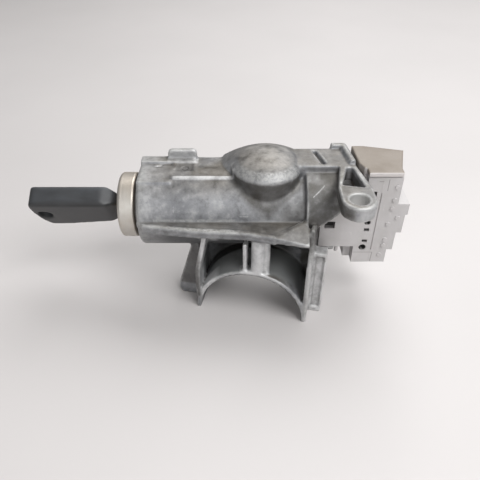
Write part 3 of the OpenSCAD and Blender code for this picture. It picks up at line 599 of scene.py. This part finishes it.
def soften(nodes):
    """Breaks the sharp edges of CAD nodes as a mould does."""
    for name in nodes:
        obj = frame["nodes"][name]
        merge = obj.modifiers.new("merge", "WELD")
        merge.merge_threshold = SAME_POINT
        flat = obj.modifiers.new("flat", "DECIMATE")
        flat.decimate_type = "DISSOLVE"
        flat.angle_limit = FLAT_ANGLE
        edge = obj.modifiers.new("edge", "BEVEL")
        edge.width = SHELL_EDGE
        edge.segments = SHELL_STEPS
        edge.limit_method = "ANGLE"
        edge.angle_limit = SHARP_ANGLE
        edge.harden_normals = True


def make_housing(material):
    """The casting, with its as-cast round edges."""
    obj = skin("housing", "housing_casting", CAST_VOXEL, CAST_PASSES, CAST_TRIANGLES)
    round_dome(obj)
    store_curvature(obj)
    obj.data.materials.append(material)


def make_key_bow(material):
    """The key's moulded bow, with its soft edges."""
    obj = skin("key_bow", "key_bow_moulding", BOW_VOXEL, BOW_PASSES)
    obj.data.materials.append(material)


def make_connector(material):
    """The connector's moulding, with its round edges."""
    obj = skin("connector_shroud", "connector_moulding", CONNECTOR_VOXEL, CONNECTOR_PASSES)
    obj.data.materials.append(material)


def make_springs(materials):
    """Copies of the springs between two bodies, in their slots' materials, left in their rest form.
    """
    slots = {part["node"]: part["material_slot"] for part in frame["record"]["subparts"]}
    for joint in frame["record"]["behaviour"]["joints"]:
        for entry in joint.get("deforming_nodes", []):
            node = entry["node"]
            obj = new_object(node + "_coil", frame["nodes"][node].data.copy())
            obj.data.materials.clear()
            obj.data.materials.append(materials[slots[node]])
            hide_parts(node)
            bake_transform(obj)


def make_floor(material):
    """The pale table top."""
    mesh = bpy.data.meshes.new("floor")
    half = FLOOR_HALF
    corners = [(-half, -half, 0), (half, -half, 0), (half, half, 0), (-half, half, 0)]
    mesh.from_pydata(corners, [], [(0, 1, 2, 3)])
    floor = new_object("floor", mesh)
    mesh.materials.append(material)


def area_light(name, at, target, size, watts):
    """A soft square light at a place, facing a target."""
    lamp = bpy.data.lights.new(name, "AREA")
    lamp.size = size
    lamp.energy = watts
    obj = new_object(name, lamp)
    obj.location = at
    obj.rotation_euler = (Vector(target) - Vector(at)).to_track_quat("-Z", "Y").to_euler()


def make_camera():
    """The photograph's camera."""
    lens = bpy.data.cameras.new("photo_camera")
    lens.sensor_width = SENSOR_MM
    lens.lens = SENSOR_MM * FOCAL_PX / IMAGE_PX
    lens.clip_start = CAMERA_NEAR
    camera = new_object("photo_camera", lens)
    camera.location = CAMERA_AT
    camera.rotation_euler = (math.pi / 2 - CAMERA_DOWN, 0, 0)
    bpy.context.scene.camera = camera


def make_world():
    """Even pale surroundings, brighter above, shown with plain tones."""
    bpy.context.scene.view_settings.view_transform = "Standard"
    world = bpy.data.worlds.new("studio")
    bpy.context.scene.world = world
    world.use_nodes = True
    tree = world.node_tree
    place = tree.nodes.new("ShaderNodeTexCoord")
    split = tree.nodes.new("ShaderNodeSeparateXYZ")
    ramp = tree.nodes.new("ShaderNodeValToRGB")
    for stop, (height, tone) in zip(ramp.color_ramp.elements, WORLD_TONES):
        stop.position = height
        stop.color = (*tone, 1)
    half = tree.nodes.new("ShaderNodeMath")
    half.operation = "MULTIPLY_ADD"
    half.inputs[1].default_value = 0.5
    half.inputs[2].default_value = 0.5
    tree.links.new(place.outputs["Generated"], split.inputs[0])
    tree.links.new(split.outputs["Z"], half.inputs[0])
    tree.links.new(half.outputs["Value"], ramp.inputs["Fac"])
    background = tree.nodes["Background"].inputs
    tree.links.new(ramp.outputs["Color"], background["Color"])
    background["Strength"].default_value = WORLD_STRENGTH


grey = moulded_plastic("grey_plastic", color=(0.50, 0.484, 0.484), shade=(0.445, 0.43, 0.425),
                       rough=0.42, extra=switch_marks)
beige = moulded_plastic("beige_plastic", color=(0.235, 0.203, 0.172), shade=(0.20, 0.169, 0.139),
                        rough=0.5, speck=0.4, extra=pale_front)
charcoal = moulded_plastic("dark_plastic", color=(0.026, 0.0265, 0.028),
                           shade=(0.037, 0.038, 0.040), rough=0.40, speck=0.10, shine=0.45,
                           extra=sky_sheen_top)
black = moulded_plastic("black_plastic", color=(0.018, 0.018, 0.019), shade=(0.026, 0.025, 0.025),
                        rough=0.5, speck=0.15)
steel = plain_metal("steel", color=(0.56, 0.56, 0.57), shade=(0.44, 0.44, 0.45), rough=0.28)
dark_steel = plain_metal("dark_steel", color=(0.10, 0.095, 0.09), shade=(0.06, 0.055, 0.05),
                         rough=0.42)
brass = plain_metal("brass", color=(0.72, 0.53, 0.26), shade=(0.58, 0.41, 0.19), rough=0.28)

casting = cast_metal()
make_housing(casting)
make_key_bow(charcoal)
make_connector(beige)
paint(["bezel_ring"], satin_metal())
paint(["switch_body", "switch_cover"], grey)
paint(["switch_rotor"], black)
paint(["sleeve_pin"], casting)
paint(["cylinder_sleeve", "shaft_circlip", "lock_bolt"], dark_steel)
paint(["key_blade", "cam_shaft", "switch_screws", "detent_plunger", "detent_spring"], steel)
make_springs({"steel": steel, "dark_steel": dark_steel})
paint(["lock_plug", "upper_wafers", "lower_wafers", "contact_bridge", "contact_springs"], brass)
paint(["fixed_contacts", "terminals"], brass)
soften(["switch_body", "switch_cover"])

make_floor(floor_paint())
make_world()
for light in LIGHTS:
    area_light(*light)
make_camera()
